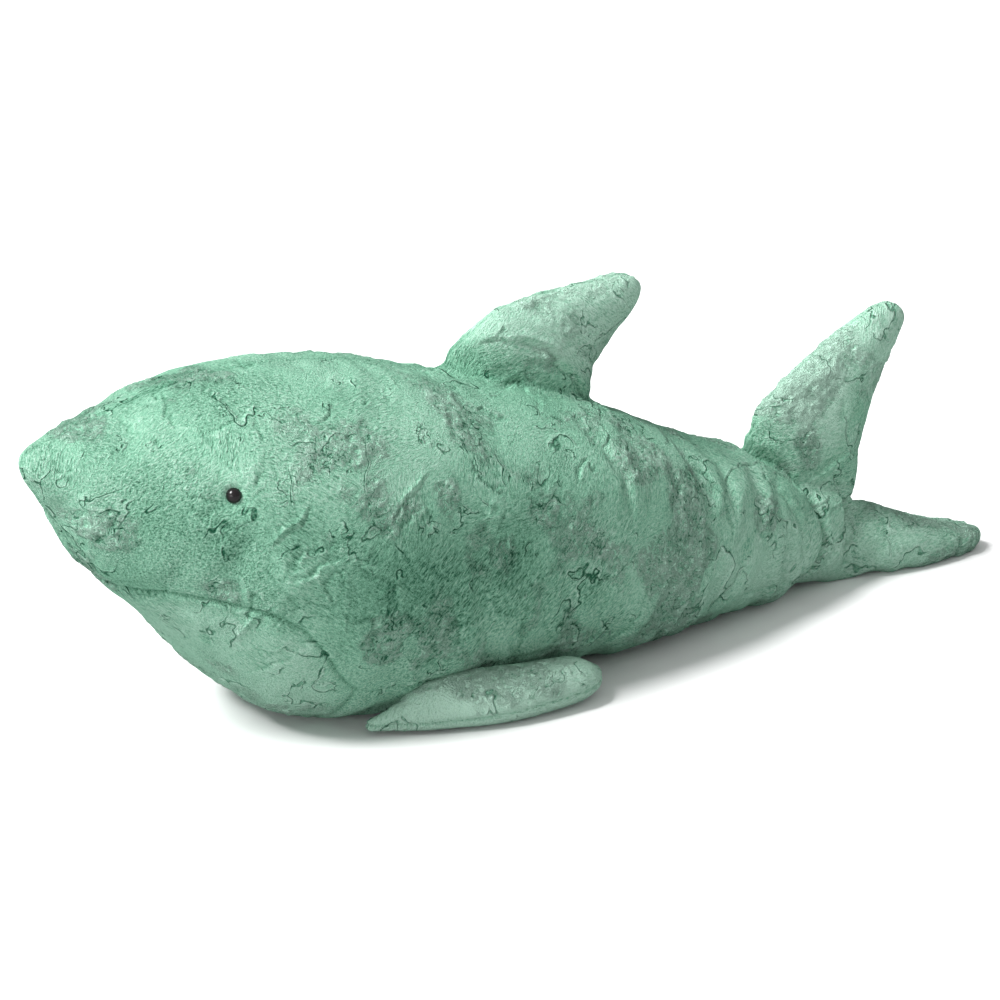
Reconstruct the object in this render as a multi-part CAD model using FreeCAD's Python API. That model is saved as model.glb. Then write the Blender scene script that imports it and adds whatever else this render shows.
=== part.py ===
import FreeCAD, Part
import math
import os

from FreeCAD import Vector

# A large plush shark lying on its belly, sewn from pile cloth over loose fibre stuffing.
# Frame: +Z up, the surface that it lies on is z = 0, the nose points along -X and the
# shark's left side is -Y. Shapes are drawn with x measured from the nose tip, and are moved
# back by half the length when they are saved, so that the origin is under the middle.

# ---- Driving dimensions, millimetres -------------------------------------------------------
LENGTH = 1000.0         # nose tip to the tip of the lower tail lobe
FABRIC = 4.0            # backing cloth with its crushed pile
FILL_GAP = 0.4          # the stuffing stays this far inside the cloth
JOINT_GAP = 0.6         # room between pieces that move against each other
RING_POINTS = 20        # points on one closed cross-section
TIP_SHARE = 0.6         # size of the small section that rounds off a tip, to the last one
WORLD = 1500.0          # larger than the whole toy, for half-space tools

# Body: station from the nose, top, bottom, half-width. The bottom is below z = 0 where the
# weight of the stuffing presses the belly flat.
BODY_STATIONS = [
    (0, 251, 239, 6),
    (12, 258, 218, 19),
    (32, 264, 186, 38),
    (65, 273, 138, 64),
    (120, 287, 82, 97),
    (190, 295, 16, 131),
    (270, 290, -5, 139),
    (360, 270, -6, 132),
    (460, 242, -6, 122),
    (560, 202, -5, 104),
    (660, 160, -3, 77),
    (746, 120, 2, 47),
]
BODY_WIDEST = 0.48      # height of the widest line, as a share of the section's height
BODY_ROUND_UP = 2.15    # superellipse powers, above and below the widest line
BODY_ROUND_DOWN = 2.5
SNOUT_END_X = 270.0     # ahead of this, an inner section is drawn back as well as in

# Mouth line and belly seam in side view. The mouth runs back from the snout, turns down round
# the cheek, and goes on as the long seam between the side and the belly.
MOUTH_SEAM = [(40, 139), (90, 146), (145, 129), (186, 104), (204, 68), (224, 40)]
BELLY_SEAM = [(224, 40), (420, 41), (600, 38), (780, 18)]
THROAT_SEAM_X = 228.0   # the chin panel meets the belly panel between the pectoral fins

# Eyes: a domed bead with a stem through the cloth and a washer pressed on inside.
EYE_AT = (130.0, -96.2, 221.0)
EYE_AXIS = (-0.47, -0.84, 0.27)
EYE_R = 6.0
EYE_DOME = 4.6
EYE_STEM_R = 2.0
EYE_STEM_LENGTH = 13.0
EYE_SUNK = 2.2          # how far the bead's rim sits below the pile's tips
EYE_GAP = 0.2           # room round the bead and the stem where they pass the cloth
WASHER_R = 7.0
WASHER_THICK = 1.6
WASHER_DEPTH = 5.2      # from the bead's rim to the washer's outer face
WASHER_GRIP = 0.05      # room round the stem in the pressed-on washer
POCKET_GAP = 0.5        # room round the washer in the stuffing

# Closing seam: the opening that the body was filled through, sewn shut by hand.
STITCH_COUNT = 14
STITCH_PITCH = 9.0
STITCH_LENGTH = 7.0
STITCH_R = 0.6
STITCH_START_X = 440.0
STITCH_GAP = 0.15       # room round a stitch in the cloth and the stuffing
STITCH_LEAN = (0.35, 0.5, -0.8)     # a stitch's direction; the first number changes sides

# Dorsal fin: front edge, back edge and half-thickness of each section, root to tip.
DORSAL_SECTIONS = [
    ((366, 214), (526, 164), 30),
    ((390, 266), (541, 215), 27),
    ((414, 293), (545, 243), 23),
    ((455, 310), (557, 262), 18),
    ((512, 319), (574, 286), 14),
    ((560, 321), (586, 304), 10),
]
DORSAL_AXIS = ((380, 273), (556, 217))
DORSAL_ROOT_R = 27.0

# Pectoral fin (left): station, inner edge, outer edge, middle height, half-thickness. It lies
# on the floor against the flank, and lifts about the line where its shoulder meets the flank.
PECTORAL_STATIONS = [
    (238, -94, -107, 14, 8),
    (258, -99, -115, 16, 11),
    (283, -104, -126, 18, 15),
    (310, -108, -138, 20, 18),
    (345, -109, -149, 20, 20),
    (393, -107, -152, 20, 20),
    (424, -104, -150, 20, 18),
    (446, -103, -143, 19, 14),
    (460, -104, -133, 18, 10),
    (468, -107, -122, 17, 7),
]
PECTORAL_SEAM_Z = 18.0  # height of the seam round its edge, between upper and lower panel

# Tail root: station, top, bottom, half-width. It turns about an upright axis.
TAIL_AXIS_X = 772.0
TAIL_ROOT_R = 50.0
TAIL_ROOT_STATIONS = [
    (700, 142, 6, 54),
    (746, 120, 2, 47),
    (785, 112, 1, 38),
    (830, 98, 1, 28),
]

# Upper tail lobe: as the dorsal fin. Its root is a cone about the line that it bends on.
UPPER_SECTIONS = [
    ((729, 92), (828, 46), 22),
    ((727, 143), (843, 89), 21),
    ((745, 190), (853, 130), 19),
    ((787, 222), (869, 174), 16),
    ((832, 243), (887, 210), 13),
    ((868, 255), (899, 236), 10),
]
UPPER_AXIS = ((714, 136), (852, 78))
UPPER_ROOT_R = (27.0, 14.0)

# Lower tail lobe: station, top, bottom, half-width. It lies on the floor.
LOWER_AXIS_X = 822.0
LOWER_ROOT_R = 26.0
LOWER_STATIONS = [
    (780, 56, -6, 25),
    (826, 63, -6, 26),
    (862, 63, -6, 33),
    (905, 48, -6, 37),
    (950, 34, -5, 31),
    (980, 27, -2, 21),
    (LENGTH - 6, 22, 3, 11),
]
LOBE_ROUND = 2.2        # superellipse power of the fins and the tail
TAIL_WIDEST = 0.5       # height of the tail's widest line, as a share of its height


# ---- Helpers -------------------------------------------------------------------------------
ACROSS = Vector(0, 1, 0)
UP = Vector(0, 0, 1)


def ring(centre, across, up, half_width, half_up, half_down, power_up, power_down):
    """One closed smooth section, which may be rounder above its widest line than below."""
    points = []
    for step in range(RING_POINTS):
        turn = 2 * math.pi * step / RING_POINTS
        cosine = math.cos(turn)
        sine = math.sin(turn)
        power = power_up if sine >= 0 else power_down
        reach = half_up if sine >= 0 else half_down
        sideways = math.copysign(abs(cosine) ** (2 / power), cosine) * half_width
        upwards = math.copysign(abs(sine) ** (2 / power), sine) * reach
        points.append(centre + across * sideways + up * upwards)
    curve = Part.BSplineCurve()
    curve.interpolate(Points=points, PeriodicFlag=True)
    return Part.Wire([curve.toShape()])


def loft(rings):
    """A closed solid through a row of sections, by cubic curves, which don't overshoot."""
    return Part.makeLoft(rings, True, False, False, 3)


def station_ring(x, top, bottom, half_width, inset, widest, power_up, power_down):
    """A cross-section of the body or tail, square to X, drawn in by inset."""
    middle = bottom + widest * (top - bottom)
    return ring(Vector(x, 0, middle), ACROSS, UP, half_width - inset, top - middle - inset,
                middle - bottom - inset, power_up, power_down)


def flat_fin_loft(sections, inset):
    """An upright fin: sections between its front and back edges, closed by a smaller tip."""
    centres = [Vector((front[0] + back[0]) / 2, 0, (front[1] + back[1]) / 2)
               for front, back, half in sections]
    outward = (centres[-1] - centres[-2]).normalize()
    centres[-1] = centres[-1] - outward * inset
    rings = []
    for centre, (front, back, half) in zip(centres, sections):
        chord = Vector(back[0] - front[0], 0, back[1] - front[1])
        size = chord.Length / 2 - inset
        thick = half - inset
        along = chord.normalize()
        rings.append(ring(centre, along, ACROSS, size, thick, thick, LOBE_ROUND, LOBE_ROUND))
    thick = TIP_SHARE * thick
    rings.append(ring(centre + outward * thick, along, ACROSS, TIP_SHARE * size, thick, thick,
                      LOBE_ROUND, LOBE_ROUND))
    return loft(rings)


def block(x_low, x_high, y_low, y_high, z_low, z_high):
    return Part.makeBox(x_high - x_low, y_high - y_low, z_high - z_low,
                        Vector(x_low, y_low, z_low))


def half_space_below(z):
    return block(-WORLD, WORLD, -WORLD, WORLD, -WORLD, z)


def upright_cylinder(x, radius):
    return Part.makeCylinder(radius, WORLD, Vector(x, 0, -WORLD / 2), UP)


def root_round(axis_ends, radii):
    """The cone or cylinder about the line that an upright fin bends on."""
    start = Vector(axis_ends[0][0], 0, axis_ends[0][1])
    end = Vector(axis_ends[1][0], 0, axis_ends[1][1])
    span = end - start
    if radii[0] == radii[1]:
        return Part.makeCylinder(radii[0], span.Length, start, span)
    return Part.makeCone(radii[0], radii[1], span.Length, start, span)


def slab_along(axis_ends, low, high):
    """A wide slab along a fin's bending line, from low to high above that line."""
    start = Vector(axis_ends[0][0], 0, axis_ends[0][1])
    end = Vector(axis_ends[1][0], 0, axis_ends[1][1])
    slope = math.degrees(math.atan2(end.z - start.z, end.x - start.x))
    slab = block(-WORLD / 2, WORLD / 2, -WORLD / 2, WORLD / 2, low, high)
    slab.rotate(Vector(0, 0, 0), ACROSS, -slope)
    slab.translate(start)
    return slab


def below_root(axis_ends, radii):
    """What a fin loses below its bending line, so that its root is round about that line."""
    return slab_along(axis_ends, -WORLD / 2, 0).cut(root_round(axis_ends, radii))


def ahead_of_root(x, radius):
    """What an upright root loses ahead of its axis, so that it is round there."""
    return block(-WORLD, x, -WORLD, WORLD, -WORLD, WORLD).cut(upright_cylinder(x, radius))


def mirror_to_right(shape):
    return shape.mirror(Vector(0, 0, 0), ACROSS)


def split_left_right(shape):
    left = block(-WORLD, WORLD, -WORLD, 0, -WORLD, WORLD)
    right = block(-WORLD, WORLD, 0, WORLD, -WORLD, WORLD)
    return shape.common(left), shape.common(right)


def save(node, shape):
    """Move a node into the toy's frame and write it as its own file."""
    moved = shape.copy()
    moved.translate(Vector(-LENGTH / 2, 0, 0))
    solids = moved.Solids
    result = solids[0] if len(solids) == 1 else Part.makeCompound(solids)
    result.exportStep(os.path.join("parts", node + ".step"))


# ---- Body ----------------------------------------------------------------------------------
def body_loft(inset):
    """The stuffed body, drawn in by inset, with the belly pressed flat."""
    rings = []
    for x, top, bottom, half_width in BODY_STATIONS:
        nose_share = max(0.0, 1 - x / SNOUT_END_X)
        rings.append(station_ring(x + inset * nose_share, top, bottom, half_width, inset,
                                  BODY_WIDEST, BODY_ROUND_UP, BODY_ROUND_DOWN))
    return loft(rings).cut(half_space_below(inset))


def body_recesses():
    """Room for the roots of the tail and the dorsal fin."""
    tail = upright_cylinder(TAIL_AXIS_X, TAIL_ROOT_R + JOINT_GAP)
    dorsal = root_round(DORSAL_AXIS, (DORSAL_ROOT_R + JOINT_GAP, DORSAL_ROOT_R + JOINT_GAP))
    return [tail, dorsal]


def under_region():
    """Everything below the mouth line and the belly seam."""
    mouth = Part.BSplineCurve()
    mouth.interpolate([Vector(x, -WORLD / 2, z) for x, z in MOUTH_SEAM])
    belly = Part.BSplineCurve()
    belly.interpolate([Vector(x, -WORLD / 2, z) for x, z in BELLY_SEAM])
    corners = [BELLY_SEAM[-1], (BELLY_SEAM[-1][0], -WORLD / 4), (MOUTH_SEAM[0][0], -WORLD / 4),
               MOUTH_SEAM[0]]
    lines = Part.makePolygon([Vector(x, -WORLD / 2, z) for x, z in corners])
    outline = Part.Wire([mouth.toShape(), belly.toShape()] + lines.Edges)
    return Part.Face(outline).extrude(ACROSS * WORLD)


def eye_frame():
    return Vector(*EYE_AT), Vector(*EYE_AXIS).normalize()


def eye_bead():
    """A domed bead with its stem, the left one."""
    at, axis = eye_frame()
    rim = at - axis * EYE_SUNK
    ball_r = (EYE_R ** 2 + EYE_DOME ** 2) / (2 * EYE_DOME)
    ball = Part.makeSphere(ball_r, rim + axis * (EYE_DOME - ball_r))
    dome = ball.common(Part.makeCylinder(EYE_R, 2 * EYE_DOME, rim, axis))
    stem = Part.makeCylinder(EYE_STEM_R, EYE_STEM_LENGTH, rim, axis * -1)
    return dome.fuse(stem).removeSplitter()


def eye_washer():
    at, axis = eye_frame()
    outer_face = at - axis * (EYE_SUNK + WASHER_DEPTH)
    disc = Part.makeCylinder(WASHER_R, WASHER_THICK, outer_face, axis * -1)
    return disc.cut(Part.makeCylinder(EYE_STEM_R + WASHER_GRIP, WASHER_THICK, outer_face,
                                      axis * -1))


def eye_seat():
    """The dent in the pile under the bead, and the hole in the cloth for its stem."""
    at, axis = eye_frame()
    floor = at - axis * (EYE_SUNK + EYE_GAP)
    dent = Part.makeCylinder(EYE_R + EYE_GAP, 2 * EYE_R, floor, axis)
    hole = Part.makeCylinder(EYE_STEM_R + EYE_GAP, 3 * EYE_R, at - axis * 2 * EYE_R, axis)
    return dent.fuse(hole)


def eye_pocket():
    """The space inside the stuffing that the washer and the stem's end push open."""
    at, axis = eye_frame()
    depth = EYE_SUNK + EYE_STEM_LENGTH + POCKET_GAP
    return Part.makeCylinder(WASHER_R + POCKET_GAP, 2 * depth, at - axis * depth, axis)


def stitch_positions():
    """Middle and direction of each hand stitch, which crosses the left belly seam."""
    z_seam = BELLY_SEAM[1][1]
    lean_x, lean_y, lean_z = STITCH_LEAN
    for number in range(STITCH_COUNT):
        x = STITCH_START_X + number * STITCH_PITCH
        top, bottom, half_width = body_size_at(x)
        middle = bottom + BODY_WIDEST * (top - bottom)
        depth = FABRIC / 2
        share = (middle - z_seam) / (middle - bottom)
        y = -half_width * (1 - share ** BODY_ROUND_DOWN) ** (1 / BODY_ROUND_DOWN) + depth
        side = 1 if number % 2 else -1
        yield Vector(x, y, z_seam), Vector(side * lean_x, lean_y, lean_z).normalize()


def body_size_at(x):
    """Top, bottom and half-width of the body between two stations."""
    for low, high in zip(BODY_STATIONS, BODY_STATIONS[1:]):
        if low[0] <= x <= high[0]:
            share = (x - low[0]) / (high[0] - low[0])
            return [a + (b - a) * share for a, b in zip(low[1:], high[1:])]


def stitches(radius):
    """The closing seam's hand stitches, or with a larger radius the room that they take."""
    bars = []
    for middle, along in stitch_positions():
        length = STITCH_LENGTH + 2 * (radius - STITCH_R)
        bars.append(Part.makeCylinder(radius, length, middle - along * length / 2, along))
    return bars


def make_body():
    shell = body_loft(0).cut(body_loft(FABRIC)).cut(body_recesses())
    seats = [eye_seat(), mirror_to_right(eye_seat())]
    pockets = [eye_pocket(), mirror_to_right(eye_pocket())]
    room = stitches(STITCH_R + STITCH_GAP)
    shell = shell.cut(seats).cut(room)
    stuffing = body_loft(FABRIC + FILL_GAP).cut(body_recesses() + pockets).cut(room)
    under = shell.common(under_region())
    left, right = split_left_right(shell.cut(under_region()))
    chin_side = block(-WORLD, THROAT_SEAM_X, -WORLD, WORLD, -WORLD, WORLD)
    save("side_panel_left", left)
    save("side_panel_right", right)
    save("chin_panel", under.common(chin_side))
    save("belly_panel", under.cut(chin_side))
    save("body_stuffing", stuffing)
    save("closing_stitches", Part.makeCompound(stitches(STITCH_R)))
    save("eye_bead_left", eye_bead())
    save("eye_bead_right", mirror_to_right(eye_bead()))
    save("eye_washer_left", eye_washer())
    save("eye_washer_right", mirror_to_right(eye_washer()))


# ---- Fins ----------------------------------------------------------------------------------
def save_stuffed(name, make_form, split, halves):
    """Two cloth panels and their stuffing, from one form that can be drawn in."""
    cloth = make_form(0).cut(make_form(FABRIC))
    for half, piece in zip(halves, split(cloth)):
        save(name + "_panel_" + half, piece)
    save(name + "_stuffing", make_form(FABRIC + FILL_GAP))


def dorsal_form(inset):
    below = below_root(DORSAL_AXIS, (DORSAL_ROOT_R, DORSAL_ROOT_R))
    return flat_fin_loft(DORSAL_SECTIONS, inset).cut(below)


def pectoral_form(inset):
    """The left fin, lying on the floor."""
    rings = []
    last = len(PECTORAL_STATIONS) - 1
    for number, (x, inner, outer, middle, half) in enumerate(PECTORAL_STATIONS):
        shift = inset * ((number == 0) - (number == last))
        centre = Vector(x + shift, (inner + outer) / 2, middle)
        rings.append(ring(centre, ACROSS, UP, (inner - outer) / 2 - inset, half - inset,
                          half - inset, LOBE_ROUND, LOBE_ROUND))
    return loft(rings)


def split_upper_lower(shape):
    lower = half_space_below(PECTORAL_SEAM_Z)
    return shape.cut(lower), shape.common(lower)


def make_pectorals():
    save_stuffed("pectoral_left", pectoral_form, split_upper_lower, ("upper", "lower"))

    def right_form(inset):
        return mirror_to_right(pectoral_form(inset))

    save_stuffed("pectoral_right", right_form, split_upper_lower, ("upper", "lower"))


# ---- Tail ----------------------------------------------------------------------------------
def station_loft(stations, inset, shorten_tip):
    rings = []
    for x, top, bottom, half_width in stations:
        at_tip = shorten_tip and x == stations[-1][0]
        rings.append(station_ring(x - inset * at_tip, top, bottom, half_width, inset,
                                  TAIL_WIDEST, LOBE_ROUND, LOBE_ROUND))
    if shorten_tip:
        middle = (top + bottom) / 2
        low = middle - TIP_SHARE * (middle - bottom)
        high = middle + TIP_SHARE * (top - middle)
        rings.append(station_ring(LENGTH - inset, high, low, TIP_SHARE * half_width,
                                  TIP_SHARE * inset, TAIL_WIDEST, LOBE_ROUND, LOBE_ROUND))
    return loft(rings)


def tail_root_form(inset):
    """The short stem behind the tail seam, with room for the roots of both lobes."""
    ahead = ahead_of_root(TAIL_AXIS_X, TAIL_ROOT_R)
    upper_radii = [radius + JOINT_GAP for radius in UPPER_ROOT_R]
    upper_room = root_round(UPPER_AXIS, upper_radii)
    upper_lip = slab_along(UPPER_AXIS, -UPPER_ROOT_R[1], WORLD / 2)
    lower_room = upright_cylinder(LOWER_AXIS_X, LOWER_ROOT_R + JOINT_GAP)
    lower_lip = block(LOWER_AXIS_X - LOWER_ROOT_R / 2, WORLD, -WORLD, WORLD, -WORLD, WORLD)
    form = station_loft(TAIL_ROOT_STATIONS, inset, False)
    return form.cut([ahead, upper_room, upper_lip, lower_room, lower_lip])


def upper_lobe_form(inset):
    return flat_fin_loft(UPPER_SECTIONS, inset).cut(below_root(UPPER_AXIS, UPPER_ROOT_R))


def lower_lobe_form(inset):
    ahead = ahead_of_root(LOWER_AXIS_X, LOWER_ROOT_R)
    return station_loft(LOWER_STATIONS, inset, True).cut(ahead).cut(half_space_below(inset))


def make_upright_fins():
    forms = {
        "dorsal_fin": dorsal_form,
        "tail_root": tail_root_form,
        "upper_lobe": upper_lobe_form,
        "lower_lobe": lower_lobe_form,
    }
    for name, form in forms.items():
        save_stuffed(name, form, split_left_right, ("left", "right"))


os.makedirs("parts", exist_ok=True)
make_body()
make_pectorals()
make_upright_fins()
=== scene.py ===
import itertools

import bmesh
import bpy
import numpy as np
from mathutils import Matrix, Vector


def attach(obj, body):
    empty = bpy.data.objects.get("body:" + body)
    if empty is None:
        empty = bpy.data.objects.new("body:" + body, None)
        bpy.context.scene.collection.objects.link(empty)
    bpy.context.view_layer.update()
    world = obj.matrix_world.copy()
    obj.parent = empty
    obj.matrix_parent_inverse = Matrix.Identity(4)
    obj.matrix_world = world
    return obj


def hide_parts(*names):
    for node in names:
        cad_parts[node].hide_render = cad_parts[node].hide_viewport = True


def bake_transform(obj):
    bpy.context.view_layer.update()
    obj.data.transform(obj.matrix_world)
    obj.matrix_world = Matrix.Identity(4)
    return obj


# A large plush shark in crushed short-pile cloth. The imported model's solids are wrapped in closed
# skins: one for the body with its dorsal fin and tail, and one for each pectoral fin. A cloth
# simulation fills the body's skin. Every skin gets its seams and its crushed pile, and is cut
# along the seams into the panels that it is sewn from.

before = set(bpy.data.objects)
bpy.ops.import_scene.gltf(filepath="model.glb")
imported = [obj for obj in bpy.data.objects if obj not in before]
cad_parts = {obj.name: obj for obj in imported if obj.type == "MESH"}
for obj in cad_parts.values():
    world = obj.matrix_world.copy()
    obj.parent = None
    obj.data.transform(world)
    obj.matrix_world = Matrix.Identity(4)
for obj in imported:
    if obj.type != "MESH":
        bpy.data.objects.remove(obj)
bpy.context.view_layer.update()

# ---- Measures ------------------------------------------------------------------------------
# Seams are drawn in millimetres from the nose tip, as the toy's pattern is.
MM = 0.001
HALF_LENGTH = 500.0
MOUTH_AND_BELLY = [(0, 136), (40, 139), (90, 146), (145, 129), (186, 104), (204, 68), (226, 41),
                   (420, 41), (600, 38), (790, 18)]
THROAT_X = 228.0
TAIL_SEAM = [(0, 738), (17, 748), (27, 762), (49, 774), (72, 774), (98, 762), (122, 746),
             (134, 727), (146, 701), (400, 690)]
DORSAL_ROOT = ((380, 273), (556, 217))
UPPER_ROOT = ((714, 136), (852, 78))
PECTORAL_SEAM = [(230, 9), (330, 12), (468, 18)]
EYE_AT = (130.0, 96.2, 221.0)
EYE_AXIS = (-0.47, 0.84, 0.27)

# Where each line counts, because it would run on over other parts of the toy.
DORSAL_FROM_X = 360
DORSAL_TO_X = 640
DORSAL_SEAM_TO_X = 600
TAIL_FROM_X = 660
UPPER_FROM_X = 690
MOUTH_TO_X = 790
BACK_Z = 150            # the dorsal fin is all above this, and the tail seam's ring all below
FAR = 99.0              # stands for a seam that doesn't run here

# Folds that the sewing and the stuffing make, drawn on the left side: how deep the groove is, how
# high the lip on its left, how wide both are, and the points (x, z) that it runs through.
FOLDS = {
    "dorsal_edge": (3.8, 2.2, 5.0, [(450, 281), (479, 269), (500, 248), (517, 229), (524, 214)]),
    "dorsal_root": (1.8, 0.9, 3.2, [(402, 256), (424, 252), (446, 251), (448, 240), (440, 234)]),
    "dorsal_short": (2.0, 1.5, 3.5, [(458, 264), (478, 259), (497, 252)]),
    "dorsal_high": (1.6, 1.0, 3.5, [(412, 281), (431, 285), (446, 279)]),
    "flank_behind": (3.2, 1.5, 9.0, [(480, 216), (494, 195), (505, 174), (500, 150)]),
    "tail_ring_high": (2.8, 1.4, 4.5, [(700, 128), (718, 109), (733, 87), (743, 64), (744, 42)]),
    "tail_ring_far": (1.8, 1.0, 4.0, [(686, 118), (706, 98), (719, 72), (724, 50)]),
    "lobe_ruffle": (2.6, 1.8, 3.6, [(834, 121), (819, 125), (800, 121), (787, 112), (774, 108)]),
    "lobe_root": (2.6, 1.4, 4.0, [(828, 90), (812, 92), (801, 104), (790, 101)]),
    "crotch_fold": (3.2, 2.0, 5.0, [(836, 76), (818, 58), (797, 43), (784, 27)]),
    "lower_root": (2.0, 1.2, 4.0, [(836, 48), (818, 34), (800, 22)]),
    "lobe_hollow": (2.4, 0.6, 9.0, [(842, 176), (830, 152), (814, 134)]),
    "chin_pucker": (2.2, 1.4, 3.0, [(133, 104), (139, 114), (146, 125)]),
    "cheek": (1.6, 1.2, 2.6, [(154, 183), (164, 193), (173, 196), (181, 206)]),
    "flank_front": (1.6, 1.2, 2.6, [(262, 192), (265, 203), (275, 208), (288, 215)]),
    "flank_low": (1.6, 1.2, 2.6, [(231, 126), (243, 137), (258, 141)]),
}

# Where the sewn form differs from its wrapped solids: the middle (x, z), how far the change
# reaches, and the move along x, away from the middle seam, and up.
FULLER = {
    "dorsal_tip": ((548, 340), 52.0, (8.0, 0.0, 0.0)),
    "dorsal_rear_root": ((545, 232), 20.0, (-10.0, 0.0, -4.0)),
    "dorsal_rear_edge": ((572, 292), 22.0, (4.0, 0.0, -2.0)),
    "dorsal_front_edge": ((450, 315), 46.0, (-4.0, 0.0, 4.0)),
    "dorsal_front_root": ((384, 279), 17.0, (-5.0, 0.0, 8.0)),
    "upper_lobe_front": ((729, 164), 30.0, (-12.0, 0.0, 5.0)),
    "upper_lobe_root": ((712, 148), 18.0, (-6.0, 0.0, 7.0)),
    "upper_lobe_tip": ((905, 268), 30.0, (5.0, 0.0, 7.0)),
    "upper_lobe_rear": ((885, 180), 55.0, (-3.0, 0.0, 0.0)),
    "lower_lobe_tip": ((960, 30), 55.0, (5.0, 7.0, -4.0)),
    "snout": ((70, 222), 60.0, (2.0, 0.0, -4.0)),
    "chin": ((110, 70), 80.0, (4.0, -2.0, 0.0)),
}

# Patches of the body painted darker than the rest, as painted shade on the flank and cheek, where
# less light falls, and in the upper lobe's hollow: middle (x, z), reach (x, z), and the change.
PAINTED_SHADE = {
    "flank": ((285, 145), (120, 60), -0.8),
    "cheek": ((110, 195), (60, 42), -0.9),
    "lobe_hollow": ((836, 160), (22, 40), -1.3),
}

# Joints: how far along its direction each one starts and ends, metres. The panels are not blended
# across them.
TAIL_BEND = ((1.0, 0.0, 0.5), 0.235, 0.305)
DORSAL_BEND = (-0.002, 0.036)
UPPER_BEND = (0.036, 0.085)
LOWER_BEND = ((1.0, 0.0, -0.41), 0.305, 0.350)
PECTORAL_BEND = (0.106, 0.124)

# Wrapping, metres.
SKIN_VOXEL = 0.0050     # first wrapping of the solids
FINE_VOXEL = 0.0021     # the skin that the pile is worked into
GAP_CLOSING = 0.006     # fillets where a fin is sewn on
CLOTH_THICK = 0.0034


# ---- Noise ---------------------------------------------------------------------------------
def cell_value(cells, seed):
    """A repeatable value from 0 to 1 for each whole-numbered cell."""
    mixed = (cells[..., 0] * 73856093) ^ (cells[..., 1] * 19349663) ^ (cells[..., 2] * 83492791)
    mixed = (mixed ^ (seed * 2654435761)) & 0xFFFFFFFF
    mixed = ((mixed ^ (mixed >> 16)) * 0x7FEB352D) & 0xFFFFFFFF
    mixed = ((mixed ^ (mixed >> 15)) * 0x846CA68B) & 0xFFFFFFFF
    return (mixed ^ (mixed >> 16)) / 2.0 ** 32


def noise(points, size, seed):
    """Smooth noise from -1 to 1 with features of about that size in millimetres."""
    places = points / size
    cell = np.floor(places).astype(np.int64)
    share = places - cell
    share = share * share * (3 - 2 * share)
    total = np.zeros(len(points))
    for corner in itertools.product((0, 1), repeat=3):
        weight = np.prod(np.where(corner, share, 1 - share), axis=1)
        total += weight * cell_value(cell + np.array(corner), seed)
    return 2 * total - 1


def layered(points, size, seed, layers):
    """Noise with finer noise on top, each layer half as big and half as strong."""
    return sum(noise(points, size / 2 ** k, seed + k) / 2 ** k for k in range(layers))


def warped(points, amount, size, seed):
    """Points moved about by noise, so that what is drawn on them gets ragged."""
    shift = [layered(points, size, seed + 11 * axis, 2) for axis in range(3)]
    return points + amount * np.stack(shift, axis=1)


def smooth_step(low, high, values):
    """0 at low and 1 at high, smooth between them."""
    share = np.clip((values - low) / (high - low), 0, 1)
    return share * share * (3 - 2 * share)


def bell(values, middle, width):
    """1 at the middle, falling to about a third one width away on both sides."""
    return np.exp(-((values - middle) / width) ** 2)


# ---- Meshes --------------------------------------------------------------------------------
def corners_of(mesh):
    places = np.zeros(len(mesh.vertices) * 3, np.float32)
    mesh.vertices.foreach_get("co", places)
    return places.reshape(-1, 3).astype(float)


def triangles_of(mesh):
    mesh.calc_loop_triangles()
    corners = np.zeros(len(mesh.loop_triangles) * 3, np.int32)
    mesh.loop_triangles.foreach_get("vertices", corners)
    return corners.reshape(-1, 3).astype(np.int64)


def new_object(name, places, triangles):
    mesh = bpy.data.meshes.new(name)
    mesh.vertices.add(len(places))
    mesh.vertices.foreach_set("co", np.asarray(places, np.float32).ravel())
    mesh.loops.add(3 * len(triangles))
    mesh.loops.foreach_set("vertex_index", np.asarray(triangles, np.int32).ravel())
    mesh.polygons.add(len(triangles))
    mesh.polygons.foreach_set("loop_start", np.arange(0, 3 * len(triangles), 3, dtype=np.int32))
    mesh.update(calc_edges=True)
    mesh.validate()
    obj = bpy.data.objects.new(name, mesh)
    bpy.context.scene.collection.objects.link(obj)
    return obj


def place_corners(obj, places):
    obj.data.vertices.foreach_set("co", np.asarray(places, np.float32).ravel())
    obj.data.update()


def apply_modifiers(obj):
    graph = bpy.context.evaluated_depsgraph_get()
    graph.update()
    mesh = bpy.data.meshes.new_from_object(obj.evaluated_get(graph))
    obj.modifiers.clear()
    old = obj.data
    obj.data = mesh
    bpy.data.meshes.remove(old)


def wrap(obj, voxel):
    remesh = obj.modifiers.new("wrap", "REMESH")
    remesh.mode = "VOXEL"
    remesh.voxel_size = voxel
    apply_modifiers(obj)


def evened(values, triangles, rounds, steps=(0.5, -0.52)):
    """Values smoothed over a mesh. With both steps it keeps its size, with one it doesn't."""
    pairs = np.concatenate([triangles[:, (0, 1)], triangles[:, (1, 2)], triangles[:, (2, 0)]])
    pairs = np.unique(np.sort(pairs, axis=1), axis=0)
    first = np.concatenate([pairs[:, 0], pairs[:, 1]])
    second = np.concatenate([pairs[:, 1], pairs[:, 0]])
    count = np.bincount(first, minlength=len(values))[:, None]
    for _ in range(rounds):
        for step in steps:
            total = np.stack([np.bincount(first, values[second, axis], len(values))
                              for axis in range(values.shape[1])], axis=1)
            values = values + step * (total / count - values)
    return values


def relax(obj, rounds):
    place_corners(obj, evened(corners_of(obj.data), triangles_of(obj.data), rounds))


def normals_of(places, triangles):
    a, b, c = (places[triangles[:, k]] for k in range(3))
    face = np.cross(b - a, c - a)
    total = np.zeros_like(places)
    for k in range(3):
        for axis in range(3):
            total[:, axis] += np.bincount(triangles[:, k], face[:, axis], len(places))
    return total / np.maximum(np.linalg.norm(total, axis=1, keepdims=True), 1e-12)


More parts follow.
